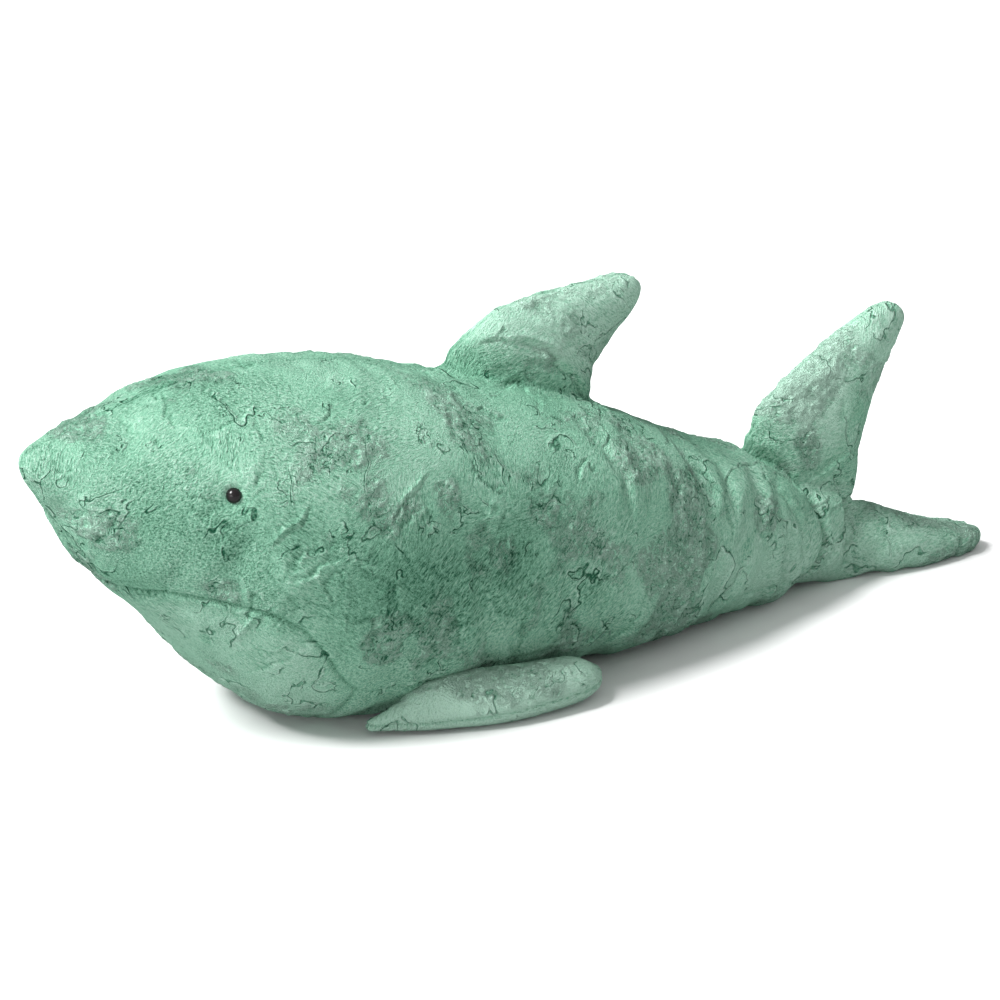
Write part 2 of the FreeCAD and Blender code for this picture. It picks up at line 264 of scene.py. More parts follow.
def swell(obj, distance):
    places = corners_of(obj.data)
    place_corners(obj, places + distance * normals_of(places, triangles_of(obj.data)))


def outer_island(obj):
    """Keep the largest connected part of a mesh."""
    work = bmesh.new()
    work.from_mesh(obj.data)
    seen = set()
    islands = []
    for start in work.verts:
        if start in seen:
            continue
        seen.add(start)
        island = [start]
        for vertex in island:       # the list grows while it is walked
            for edge in vertex.link_edges:
                other = edge.other_vert(vertex)
                if other not in seen:
                    seen.add(other)
                    island.append(other)
        islands.append(island)
    islands.sort(key=len)
    for island in islands[:-1]:
        bmesh.ops.delete(work, geom=island, context="VERTS")
    work.to_mesh(obj.data)
    work.free()


def skin_over(name, nodes, closing):
    """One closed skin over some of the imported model's solids."""
    places = []
    triangles = []
    count = 0
    for node in nodes:
        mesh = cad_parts[node].data
        places.append(corners_of(mesh))
        triangles.append(triangles_of(mesh) + count)
        count += len(mesh.vertices)
    obj = new_object(name, np.concatenate(places), np.concatenate(triangles))
    wrap(obj, SKIN_VOXEL)
    outer_island(obj)
    if closing:
        swell(obj, closing)
        wrap(obj, SKIN_VOXEL)
        swell(obj, -closing)
        relax(obj, 4)
        wrap(obj, SKIN_VOXEL)
    relax(obj, 6)
    return obj


# ---- Seams, in millimetres -----------------------------------------------------------------
SEAM_POINTS = 400       # along a drawn seam
ROUNDING = 13           # points in each of the averages that round its corners

FOLD_WANDER = 2.5       # how far a fold strays from its run
FOLD_LEAST = 0.02       # leaves a little of a fold at its ends
FOLD_REACH = 30         # a fold's relief is worked out this far round its run
FOLD_OFF_MIDDLE = 2     # folds stop short of the middle seam
FOLD_GROOVE = (-0.4, 0.55)          # place and width of the groove, as shares of a fold's width
FOLD_RIDGE = (0.7, 0.8)             # and of the ridge that is its lip

ON_SEAM = 0.15          # corners nearer a seam than this count as on it


def from_nose(places):
    """Metres in the toy's frame to millimetres from the nose tip."""
    return places * 1000 + np.array((HALF_LENGTH, 0, 0))


def to_metres(places):
    """Millimetres from the nose tip to metres in the toy's frame."""
    return (places - np.array((HALF_LENGTH, 0, 0))) * MM


def distance_over(along, across, curve):
    """Signed distance from a seam that is drawn as across = curve(along)."""
    knots, heights = zip(*curve)
    fine = np.linspace(knots[0], knots[-1], SEAM_POINTS)
    line = np.interp(fine, knots, heights)
    for _ in range(3):
        padded = np.pad(line, ROUNDING // 2, mode="edge")
        line = np.convolve(padded, np.ones(ROUNDING) / ROUNDING, mode="valid")
    slope = np.gradient(line, fine)
    here = np.interp(along, fine, line)
    steep = np.interp(along, fine, slope)
    return (across - here) / np.sqrt(1 + steep * steep)


def above_line(places, ends):
    """Distance above a fin's bending line."""
    (x0, z0), (x1, z1) = ends
    length = np.hypot(x1 - x0, z1 - z0)
    return ((places[:, 0] - x0) * (z0 - z1) + (places[:, 2] - z0) * (x1 - x0)) / length


def along(places, direction):
    """Metres along a direction from the middle of the toy's length."""
    return places @ np.array(direction) * MM - HALF_LENGTH * MM * direction[0]


SEAMS = {
    "middle": lambda p: p[:, 1],
    "mouth": lambda p: distance_over(p[:, 0], p[:, 2], MOUTH_AND_BELLY),
    "throat": lambda p: p[:, 0] - THROAT_X,
    "tail": lambda p: distance_over(p[:, 2], p[:, 0], TAIL_SEAM),
    "dorsal": lambda p: above_line(p, DORSAL_ROOT) - 1000 * DORSAL_BEND[0],
    "upper": lambda p: above_line(p, UPPER_ROOT) - 1000 * UPPER_BEND[0],
    "lower": lambda p: 1000 * (along(p, LOWER_BEND[0]) - LOWER_BEND[1]),
}


def region_of(places):
    """Which panel each point belongs to."""
    side = np.where(SEAMS["middle"](places) < 0, "_left", "_right")
    x, z = places[:, 0], places[:, 2]
    region = np.char.add("side_skin", side)
    under = SEAMS["mouth"](places) < 0
    region = np.where(under, np.where(SEAMS["throat"](places) < 0, "chin_skin", "belly_skin"),
                      region)
    fin = (SEAMS["dorsal"](places) > 0) & (x > DORSAL_FROM_X) & (x < DORSAL_TO_X) & (z > BACK_Z)
    region = np.where(fin, np.char.add("dorsal_skin", side), region)
    behind = SEAMS["tail"](places) > 0
    region = np.where(behind, np.char.add("tail_root_skin", side), region)
    lower = behind & (SEAMS["lower"](places) > 0)
    region = np.where(lower, np.char.add("lower_lobe_skin", side), region)
    upper = (x > UPPER_FROM_X) & (SEAMS["upper"](places) > 0)
    return np.where(upper, np.char.add("upper_lobe_skin", side), region)


def is_under(places):
    """Whether each point is on the chin or the belly."""
    region = region_of(places)
    return np.char.startswith(region, "chin") | np.char.startswith(region, "belly")


def fold(places, run, seed):
    """Signed distance to a fold, and how much of it is there: all midway, less at its ends."""
    here = warped(places, FOLD_WANDER, 14, seed)[:, (0, 2)]
    nearest = np.full(len(places), 1e9)
    signed = np.zeros(len(places))
    passed_share = np.zeros(len(places))
    steps = np.linalg.norm(np.diff(run, axis=0), axis=1)
    passed = np.concatenate([[0], np.cumsum(steps)])
    for k, step in enumerate(steps):
        way = (run[k + 1] - run[k]) / step
        offset = here - run[k]
        share = np.clip(offset @ way, 0, step)
        distance = np.linalg.norm(offset - share[:, None] * way, axis=1)
        closer = distance < nearest
        side = np.sign(offset[:, 1] * way[0] - offset[:, 0] * way[1])
        signed = np.where(closer, side * distance, signed)
        passed_share = np.where(closer, (passed[k] + share) / passed[-1], passed_share)
        nearest = np.minimum(nearest, distance)
    there = 2 * np.sqrt(passed_share * (1 - passed_share) + FOLD_LEAST)
    return signed, np.minimum(there, 1)


def fold_relief(places, seed):
    """Height that the folds add, alike on both sides of the toy."""
    height = np.zeros(len(places))
    here = places[:, (0, 2)]
    off_middle = np.abs(places[:, 1]) > FOLD_OFF_MIDDLE
    for k, (depth, lip, width, points) in enumerate(FOLDS.values()):
        run = np.array(points, float)
        in_box = (here > run.min(axis=0) - FOLD_REACH) & (here < run.max(axis=0) + FOLD_REACH)
        near = off_middle & in_box.all(axis=1)
        signed, there = fold(places[near], run, seed + k)
        groove = bell(signed, FOLD_GROOVE[0] * width, FOLD_GROOVE[1] * width)
        ridge = bell(signed, FOLD_RIDGE[0] * width, FOLD_RIDGE[1] * width)
        height[near] += there * (lip * ridge - depth * groove)
    return height


def cut(places, triangles, values):
    """Split the triangles where the values change sign, so that edges follow that line."""
    values = np.where(np.abs(values) < ON_SEAM, 0.0, values)
    pairs = np.stack([triangles, np.roll(triangles, -1, axis=1)], axis=2)
    crossing = values[pairs[..., 0]] * values[pairs[..., 1]] < 0
    keys = np.sort(pairs[crossing], axis=1)
    edges, where = np.unique(keys, axis=0, return_inverse=True)
    low, high = values[edges[:, 0]], values[edges[:, 1]]
    share = (low / (low - high))[:, None]
    added = places[edges[:, 0]] * (1 - share) + places[edges[:, 1]] * share
    number = np.full(crossing.shape, -1)
    number[crossing] = len(places) + where.ravel()
    count = crossing.sum(axis=1)
    kept = [triangles[count == 0]]
    for turn in range(3):
        a, b, c = np.roll(triangles, -turn, axis=1).T
        p, q, r = np.roll(number, -turn, axis=1).T      # new corners on edges ab, bc and ca
        one = (count == 1) & (q >= 0)
        kept += [np.stack([a, b, q], 1)[one], np.stack([a, q, c], 1)[one]]
        two = (count == 2) & (q < 0)
        kept += [np.stack([a, p, r], 1)[two], np.stack([p, b, c], 1)[two],
                 np.stack([p, c, r], 1)[two]]
    return np.concatenate([places, added]), np.concatenate(kept)


# ---- Filling -------------------------------------------------------------------------------
FILL_FRAMES = 20
FILL_PRESSURE = 5.0
FILL_MOST = 0.003       # metres; bigger moves than the small folds are held back to this
FORM_ROUNDS = 30        # smoothing that tells the toy's form from what the filling adds to it
BLUR = (0.6,)           # one step of smoothing that lets the values shrink
GATHER_WIDTH = 7.0      # how far from a seam its cloth gathers, millimetres


def seam_tightness(places):
    """Where the cloth gathers: 1 on a seam, fading over a centimetre or so."""
    x, y, z = places.T
    from_tail = SEAMS["tail"](places)
    middle = np.where(is_under(places), FAR, np.abs(y))
    tail = np.where((x > TAIL_FROM_X) & (z < BACK_Z), np.abs(from_tail), FAR)
    mouth = np.where(from_tail < 0, np.abs(SEAMS["mouth"](places)), FAR)
    return bell(np.minimum(np.minimum(middle, tail), mouth), 0, GATHER_WIDTH)


def fill_with_air(obj, tight):
    """Swell a skin like a stuffed one. Along its seams, where tight is 1, the cloth gathers."""
    start = corners_of(obj.data)
    group = obj.vertex_groups.new(name="tight")
    for number, weight in enumerate(tight):
        if weight > 0.01:
            group.add([number], float(weight), "REPLACE")
    fill = obj.modifiers.new("fill", "CLOTH")
    settings = fill.settings
    settings.quality = 4
    settings.mass = 0.25
    settings.tension_stiffness = 12
    settings.compression_stiffness = 12
    settings.shear_stiffness = 6
    settings.bending_stiffness = 0.3
    settings.use_pressure = True
    settings.uniform_pressure_force = FILL_PRESSURE
    settings.shrink_min = 0.0
    settings.shrink_max = 0.05
    settings.vertex_group_shrink = "tight"
    settings.effector_weights.gravity = 0
    fill.collision_settings.use_collision = False
    fill.collision_settings.use_self_collision = False
    fill.point_cache.frame_start = 1
    fill.point_cache.frame_end = FILL_FRAMES
    for number in range(1, FILL_FRAMES + 1):
        bpy.context.scene.frame_set(number)
    graph = bpy.context.evaluated_depsgraph_get()
    moved = corners_of(obj.evaluated_get(graph).data)
    obj.modifiers.clear()
    bpy.context.scene.frame_set(1)
    # Only the small folds are kept: the slow swelling is taken out, and the rest is evened.
    shift = moved - start
    triangles = triangles_of(obj.data)
    shift -= evened(shift, triangles, FORM_ROUNDS, BLUR)
    shift = evened(shift, triangles, 2, BLUR)
    far = np.linalg.norm(shift, axis=1, keepdims=True)
    shift *= FILL_MOST * np.tanh(far / FILL_MOST) / np.maximum(far, 1e-9)
    place_corners(obj, start + shift)


# ---- Crushed pile --------------------------------------------------------------------------
# The pile is brushed in different ways from place to place: four ways, mixed by smooth shares.
WAYS = ((1.0, 0.15, 0.12), (0.72, 0.15, 0.66), (0.30, 0.35, 0.88), (0.80, -0.25, -0.52))
WAY_LIKELY = (0.05, 0.15, -0.02, -0.05)
WAY_SIZE = 88           # of the places brushed one way, millimetres
WAY_SHARPNESS = 7
STRETCH = 6.0           # of the streaks in the cloth's shape
PILE_STRETCH = 3.5      # of the finer ones in its material

# Heights in millimetres, and the size of the noise for some of them.
STUFFING = ((2.4, 95), (1.2, 46))
CURL_HEIGHT = 0.7
CLUMP_HEIGHT = 0.9
CREASE_HEIGHT = 0.7
STREAK_HEIGHT = 0.15
CREASE_SIZES = (62, 47, 36)

# Beside a seam's groove the cloth swells, as shares of the groove's depth and width, and puckers.
SWELL_HEIGHT = 0.22
SWELL_AT = 2.4
SWELL_WIDTH = 1.4
PUCKER_REACH = 4.5
SHADE_WIDTH = 1.5       # of the dark line that a seam makes, millimetres


def pile_shares(places, seed):
    """How much of each brushing way there is at each point."""
    fields = [layered(places, WAY_SIZE, seed + 5 * k, 2) for k in range(len(WAYS))]
    shares = np.exp(WAY_SHARPNESS * (np.stack(fields, axis=1) + np.array(WAY_LIKELY)))
    return shares / shares.sum(axis=1, keepdims=True)


def combed(places, size, seed, shares):
    """Noise that is drawn out along the way that the pile is brushed."""
    total = np.zeros(len(places))
    for k, way in enumerate(WAYS):
        way = np.array(way) / np.linalg.norm(way)
        lengthwise = (places @ way)[:, None]
        drawn = places - (1 - 1 / STRETCH) * lengthwise * way
        total += shares[:, k] * layered(drawn, size, seed + 3 * k, 2)
    return total


def creases(places, seed):
    """Short ragged lines where the pile has parted: a groove with a raised lip beside it."""
    total = np.zeros(len(places))
    bent = warped(places, amount=9, size=30, seed=seed)
    ragged = warped(bent, amount=3.5, size=9, seed=seed + 1)
    for k, size in enumerate(CREASE_SIZES):
        across = layered(ragged, size, seed + 20 + 7 * k, 2) * size * 0.8
        present = smooth_step(0.22, 0.42, noise(places, 0.75 * size, seed + 50 + k))
        lip = bell(across, 2.6, 2.2)
        groove = bell(across, -0.8, 1.9)
        total += present * (1.1 * lip - 1.7 * groove)
    return total


def crushed_pile(places, seed):
    """Height of the crushed pile in millimetres, with what its material needs."""
    shares = pile_shares(places, seed)
    lumps = sum(high * noise(places, size, seed + 30 + k) for k, (high, size) in enumerate(STUFFING))
    # The pile is crushed in patches. There it lies in curls, and sticks together in clumps.
    patches = layered(warped(places, amount=8, size=22, seed=seed + 33), 48, seed + 32, 3)
    rough = smooth_step(0.10, 0.50, patches)
    winding = layered(warped(places, amount=7, size=15, seed=seed + 36), 12, seed + 37, 2)
    curl = np.clip(1 - 2.4 * np.abs(winding), -0.5, 1)
    clump = layered(warped(places, amount=4, size=9, seed=seed + 38), 7.0, seed + 39, 2)
    crushed = rough * (CURL_HEIGHT * curl + CLUMP_HEIGHT * clump)
    torn = creases(places, seed + 60)
    streaks = combed(places, 5.5, seed + 41, shares)
    height = lumps + crushed + CREASE_HEIGHT * torn + STREAK_HEIGHT * streaks
    # Tone that differs at random. The body and the pectoral fins add painted light and painted shade
    # to it.
    tone_and_painted_light = 0.45 * noise(places, 110, seed + 44) + 0.35 * layered(places, 45, seed + 45, 2)
    # Raised pile is painted lighter and creases darker: painted highlight and painted shade that
    # follow the relief.
    painted_relief_shade = np.clip(0.9 * crushed + 0.45 * torn, -1, 1)
    return height, {"rest": places * MM, "shares": shares[:, :3], "tone_and_painted_light": tone_and_painted_light, "rough": rough,
                    "painted_relief_shade": painted_relief_shade, "seam": np.zeros(len(places))}


def seam_groove(distance, places, depth, width, seed):
    """A seam pulls the cloth in and puckers it on both sides."""
    far = np.abs(distance)
    swell = SWELL_HEIGHT * depth * bell(far, SWELL_AT * width, SWELL_WIDTH * width)
    groove = swell - depth * bell(far, 0, width)
    pucker = noise(places, 9, seed) + 0.6 * noise(places, 16, seed + 1)
    return groove * (1 + 0.35 * pucker) + 0.45 * pucker * np.exp(-far / (PUCKER_REACH * width))


def seam_shade(distance):
    """How much a sewn line darkens the cloth beside it."""
    return bell(distance, 0, SHADE_WIDTH)


# ---- Materials -----------------------------------------------------------------------------
PILE_DARK = (0.020, 0.120, 0.064, 1)
PILE_MIDDLE = (0.255, 0.540, 0.380, 1)
PILE_LIGHT = (0.540, 0.810, 0.660, 1)
PILE_SHADE = -0.72      # brings the middle of all the noises to the middle of the colours
PILE_BUMP = 0.0058

# Scales of the cloth's noises, per metre.
CLUMP_SCALE = 165
STREAK_SCALE = 700
FIBRE_SCALE = 1300


def surface(name, shader_type):
    """A new material with one shader."""
    made = bpy.data.materials.new(name)
    made.use_nodes = True
    tree = made.node_tree
    tree.nodes.clear()
    out = tree.nodes.new("ShaderNodeOutputMaterial")
    shader = tree.nodes.new(shader_type)
    tree.links.new(shader.outputs["BSDF"], out.inputs["Surface"])
    return made, tree, shader


def maths(tree, operation, first, second=None, third=None):
    """A Math node on sockets or numbers."""
    node = tree.nodes.new("ShaderNodeMath")
    node.operation = operation
    for socket, value in zip(node.inputs, (first, second, third)):
        if value is None:
            continue
        if isinstance(value, bpy.types.NodeSocket):
            tree.links.new(value, socket)
        else:
            socket.default_value = value
    return node.outputs[0]


def weighted(tree, start, *terms):
    """The start with each socket added, times its weight."""
    total = start
    for socket, weight in terms:
        total = maths(tree, "MULTIPLY_ADD", socket, weight, total)
    return total


def texture_noise(tree, vector, scale, detail, roughness=0.5, distortion=0.0):
    node = tree.nodes.new("ShaderNodeTexNoise")
    node.inputs["Scale"].default_value = scale
    node.inputs["Detail"].default_value = detail
    node.inputs["Roughness"].default_value = roughness
    node.inputs["Distortion"].default_value = distortion
    tree.links.new(vector, node.inputs["Vector"])
    return node.outputs["Fac"]


def step_between(tree, value, low, high):
    """0 at low and 1 at high, smooth between. High may be the lower of the two."""
    node = tree.nodes.new("ShaderNodeMapRange")
    node.interpolation_type = "SMOOTHSTEP"
    node.inputs["From Min"].default_value = min(low, high)
    node.inputs["From Max"].default_value = max(low, high)
    node.inputs["To Min"].default_value = 0.0 if low < high else 1.0
    node.inputs["To Max"].default_value = 1.0 if low < high else 0.0
    tree.links.new(value, node.inputs["Value"])
    return node.outputs["Result"]


def ramp_colour(tree, shader, value, colours):
    """Colour the shader along a ramp of (position, colour) pairs."""
    ramp = tree.nodes.new("ShaderNodeValToRGB")
    stops = ramp.color_ramp.elements
    for stop, (position, colour) in zip(stops, (colours[0], colours[-1])):
        stop.position = position
        stop.color = colour
    for position, colour in colours[1:-1]:
        stops.new(position).color = colour
    tree.links.new(value, ramp.inputs["Fac"])
    tree.links.new(ramp.outputs["Color"], shader.inputs["Base Color"])


def bump(tree, shader, height, strength, distance):
    node = tree.nodes.new("ShaderNodeBump")
    node.inputs["Strength"].default_value = strength
    node.inputs["Distance"].default_value = distance
    tree.links.new(height, node.inputs["Height"])
    tree.links.new(node.outputs["Normal"], shader.inputs["Normal"])


def attribute(tree, name, output="Fac"):
    node = tree.nodes.new("ShaderNodeAttribute")
    node.attribute_name = name
    return node.outputs[output]


def cracks(tree, place, scale, width, least):
    """Thin ragged lines where the pile has parted: their grooves, and the lip beside each."""
    field = texture_noise(tree, place, scale, 3.0, 0.55, 0.25)
    across = maths(tree, "SUBTRACT", field, 0.5)
    patches = texture_noise(tree, place, 0.8 * scale, 3.0, 0.6)
    there = step_between(tree, patches, least, least + 0.07)
    groove = step_between(tree, maths(tree, "ABSOLUTE", across), width, 0.1 * width)
    near = step_between(tree, across, 4.5 * width, 1.2 * width)
    beside = step_between(tree, across, 0.2 * width, 1.2 * width)
    lip = maths(tree, "MULTIPLY", near, beside)
    return maths(tree, "MULTIPLY", groove, there), maths(tree, "MULTIPLY", lip, there)


def combed_texture(tree, place):
    """Noise drawn out along each brushing way, mixed by the shares."""
    split = tree.nodes.new("ShaderNodeSeparateXYZ")
    tree.links.new(attribute(tree, "shares", "Vector"), split.inputs[0])
    shares = list(split.outputs)
    last_share = 1.0
    for share in split.outputs:
        last_share = maths(tree, "SUBTRACT", last_share, share)
    streak = 0.0
    for share, way in zip(shares + [last_share], WAYS):
        turned = tree.nodes.new("ShaderNodeMapping")
        turned.vector_type = "TEXTURE"
        turned.inputs["Rotation"].default_value = Vector(way).to_track_quat("X", "Z").to_euler()
        turned.inputs["Scale"].default_value = (PILE_STRETCH, 1, 1)
        tree.links.new(place, turned.inputs["Vector"])
        drawn = texture_noise(tree, turned.outputs["Vector"], STREAK_SCALE, 3.0, 0.62)
        streak = maths(tree, "MULTIPLY_ADD", share, drawn, streak)
    return streak


def pile_material():
    made, tree, shader = surface("pile_cloth", "ShaderNodeBsdfPrincipled")
    shader.inputs["Sheen Weight"].default_value = 0.08
    shader.inputs["Sheen Roughness"].default_value = 0.45
    shader.inputs["Sheen Tint"].default_value = (0.40, 0.88, 0.62, 1)
    shader.inputs["Specular IOR Level"].default_value = 0.01
    tone_and_painted_light, rough, painted_relief_shade, seam = (attribute(tree, name) for name in ("tone_and_painted_light", "rough", "painted_relief_shade", "seam"))
    place = attribute(tree, "rest", "Vector")
    streak = combed_texture(tree, place)
    clump = texture_noise(tree, place, CLUMP_SCALE, 4.0, 0.66, 0.9)
    fibre = texture_noise(tree, place, FIBRE_SCALE, 2.0, 0.6)
    long_groove, long_lip = cracks(tree, place, scale=19, width=0.011, least=0.51)
    short_groove, short_lip = cracks(tree, place, scale=40, width=0.017, least=0.58)
    groove = maths(tree, "MAXIMUM", long_groove, short_groove)
    lip = maths(tree, "MAXIMUM", long_lip, short_lip)
    # A curl is a thin line through the clump noise, and a gap is where that noise is low.
    off_curl = maths(tree, "ABSOLUTE", maths(tree, "SUBTRACT", clump, 0.52))
    curl = step_between(tree, off_curl, 0.06, 0.0)
    gap = step_between(tree, clump, 0.42, 0.34)
    # Besides their bump, curls are painted lighter as painted highlights and gaps darker as painted
    # shade.
    curled = weighted(tree, curl, (gap, -1.0))
    crushed = maths(tree, "MULTIPLY", curled, weighted(tree, 0.05, (rough, 0.95)))
    # In the colour, the streaks and fibres are the pile's own grain, and part of the tone differs at
    # random. The rest is painted light and shade:
    # parts painted lighter or darker for how light falls on them, raised pile painted lighter and
    # its creases darker, painted shade in the crack grooves and along the seams, painted highlights
    # on the crack lips and curls, painted shade in the gaps, and a little painted light over the
    # crushed patches.
    shade = weighted(tree, PILE_SHADE, (streak, 1.7), (fibre, 0.8), (tone_and_painted_light, 0.24), (painted_relief_shade, 0.18),
                     (groove, -0.38), (lip, 0.16), (seam, -0.34), (crushed, 0.36), (rough, 0.02))
    height = weighted(tree, 0.0, (streak, 0.80), (crushed, 0.60), (fibre, 0.22), (groove, -0.55),
                      (lip, 0.32))
    ramp_colour(tree, shader, shade, ((0.05, PILE_DARK), (0.5, PILE_MIDDLE), (0.92, PILE_LIGHT)))
    tree.links.new(weighted(tree, 0.97, (streak, -0.18)), shader.inputs["Roughness"])
    bump(tree, shader, height, 1.0, PILE_BUMP)
    return made


def grained(tree, shader, scale, detail, colours, roughness, bump_size):
    """Give a smooth shader a grain in its colour, roughness and relief."""
    place = tree.nodes.new("ShaderNodeTexCoord").outputs["Object"]
    grain = texture_noise(tree, place, scale, detail)
    ramp_colour(tree, shader, grain, ((0.0, colours[0]), (1.0, colours[1])))
    tree.links.new(maths(tree, "MULTIPLY_ADD", grain, *roughness), shader.inputs["Roughness"])
    bump(tree, shader, grain, *bump_size)


def bead_material():
    made, tree, shader = surface("eye_black", "ShaderNodeBsdfPrincipled")
    shader.inputs["Coat Weight"].default_value = 0.1
    shader.inputs["Coat Roughness"].default_value = 0.06
    shader.inputs["Specular IOR Level"].default_value = 0.3
    grained(tree, shader, 420, 3.0, ((0.004, 0.004, 0.005, 1), (0.016, 0.012, 0.012, 1)),
            roughness=(0.12, 0.18), bump_size=(0.05, 0.0003))
    return made


def plain_material(name, dark, light, scale, roughness):
    made, tree, shader = surface(name, "ShaderNodeBsdfPrincipled")
    grained(tree, shader, scale, 4.0, (dark, light), roughness=(0.2, roughness),
            bump_size=(0.4, 0.0002))
    return made


# ---- Panels --------------------------------------------------------------------------------
FLOOR_CLEARANCE = 0.3   # millimetres between the cloth and the floor it lies on
PILE = pile_material()
SOFT_NODES = {
    "side_skin_left": ["side_panel_left"],
    "side_skin_right": ["side_panel_right"],
    "chin_skin": ["chin_panel"],
    "belly_skin": ["belly_panel", "body_stuffing"],
    "dorsal_skin_left": ["dorsal_fin_panel_left", "dorsal_fin_stuffing"],
    "dorsal_skin_right": ["dorsal_fin_panel_right"],
    "tail_root_skin_left": ["tail_root_panel_left", "tail_root_stuffing"],
    "tail_root_skin_right": ["tail_root_panel_right"],
    "upper_lobe_skin_left": ["upper_lobe_panel_left", "upper_lobe_stuffing"],
    "upper_lobe_skin_right": ["upper_lobe_panel_right"],
    "lower_lobe_skin_left": ["lower_lobe_panel_left", "lower_lobe_stuffing"],
    "lower_lobe_skin_right": ["lower_lobe_panel_right"],
}


def panel(name, places, normals, triangles, extras):
    """One sewn panel: its outer face, an inner face a cloth's thickness in, and the rims."""
    used, local = np.unique(triangles, return_inverse=True)
    local = local.reshape(-1, 3)
    outer = places[used]
    out_normals = normals[used]
    count = len(used)
    # An edge that no other triangle runs along the other way is on the rim.
    pairs = np.concatenate([local[:, (0, 1)], local[:, (1, 2)], local[:, (2, 0)]])
    keys = pairs[:, 0] * count + pairs[:, 1]
    back = pairs[:, 1] * count + pairs[:, 0]
    rim = pairs[~np.isin(keys, back)]
    sides = np.concatenate([np.stack([rim[:, 1], rim[:, 0], rim[:, 0] + count], 1),
                            np.stack([rim[:, 1], rim[:, 0] + count, rim[:, 1] + count], 1)])
    corners = np.concatenate([outer, outer - CLOTH_THICK * out_normals])
    faces = np.concatenate([local, local[:, ::-1] + count, sides])
    obj = new_object(name, corners, faces)
    mesh = obj.data
    mesh.shade_smooth()
    mesh.normals_split_custom_set_from_vertices(np.concatenate([out_normals, -out_normals]))
    for key, values in extras.items():
        is_vector = values.ndim == 2
        layer = mesh.attributes.new(key, "FLOAT_VECTOR" if is_vector else "FLOAT", "POINT")
        both = np.concatenate([values[used], values[used]]).astype(np.float32)
        layer.data.foreach_set("vector" if is_vector else "value", both.ravel())
    mesh.materials.append(PILE)
    return obj


def bend(obj, parent, child, direction, start, end):
    """Bake a panel's placement into its mesh; it is not blended across a joint. Direction, which
    points from the parent to the child, is not used.
    """
    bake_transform(obj)


def fine_skin(skin, rounds):
    """Wrap a skin finely, and hand over its corners in millimetres and its triangles."""
    wrap(skin, FINE_VOXEL)
    relax(skin, rounds)
    places = from_nose(corners_of(skin.data))
    triangles = triangles_of(skin.data)
    bpy.data.objects.remove(skin)
    return places, triangles


def laid_down(places):
    """What would be under the floor is pressed flat on it."""
    x, y, z = places.T
    return np.stack([x, y, np.maximum(z, FLOOR_CLEARANCE)], axis=1)


# ---- Body, dorsal fin and tail -------------------------------------------------------------
TAIL_BULGE = 4.0        # millimetres
# Behind this x the upper lobe is painted lighter, as painted light, and its pile is less crushed.
LOBE_PAINTED_LIGHT_FROM_X = 700


def build_body():
    nodes = [node for names in SOFT_NODES.values() for node in names]
    skin = skin_over("skin", nodes, GAP_CLOSING)
    fill_with_air(skin, seam_tightness(from_nose(corners_of(skin.data))))
    places, triangles = fine_skin(skin, 5)
    for seam in SEAMS.values():
        places, triangles = cut(places, triangles, seam(places))
    return places, triangles


def seam_distances(places):
    """Signed distance from each sewn line of the body, and FAR where it doesn't run."""
    x, y, z = places.T
    under = is_under(places)
    from_tail = SEAMS["tail"](places)
    at_mouth = (from_tail < 2) & (x < MOUTH_TO_X)
    at_tail = (x > TAIL_FROM_X) & (z < BACK_Z)
    at_dorsal = (x > DORSAL_FROM_X) & (x < DORSAL_SEAM_TO_X) & (z > BACK_Z)
    return {
        "mouth": np.where(at_mouth, SEAMS["mouth"](places), FAR),
        "tail": np.where(at_tail, from_tail, FAR),
        "middle": np.where(under, FAR, y),
        "throat": np.where(under, SEAMS["throat"](places), FAR),
        "dorsal": np.where(at_dorsal, SEAMS["dorsal"](places), FAR) + 2,
    }


def fin_share(places):
    """0 on the body, and 1 on the dorsal fin and the upper lobe."""
    x = places[:, 0]
    dorsal = smooth_step(0, 30, above_line(places, DORSAL_ROOT))
    upper = smooth_step(10, 60, above_line(places, UPPER_ROOT))
    return np.maximum(dorsal * (x > DORSAL_FROM_X) * (x < DORSAL_TO_X),
                      upper * (x > LOBE_PAINTED_LIGHT_FROM_X))


def painted_light_and_shade(places, fins, mouth):
    """Painted light and shade: how much lighter or darker each part is painted than the cloth
    itself, for how the light falls on it.
    """
    x, _, z = places.T
    # The fins are painted lighter: painted light on faces that the lamps and the body leave in
    # shade.
    tone_and_painted_light = 1.2 * fins
    for middle, reach, change in PAINTED_SHADE.values():
        tone_and_painted_light += change * bell(x, middle[0], reach[0]) * bell(z, middle[1], reach[1])
    # The chin and the low rear are painted lighter: painted light.
    chin = smooth_step(0, -20, mouth) * smooth_step(260, 200, x)
    rear = smooth_step(560, 640, x) * smooth_step(120, 60, z)
    return tone_and_painted_light + 0.6 * chin + 0.5 * rear


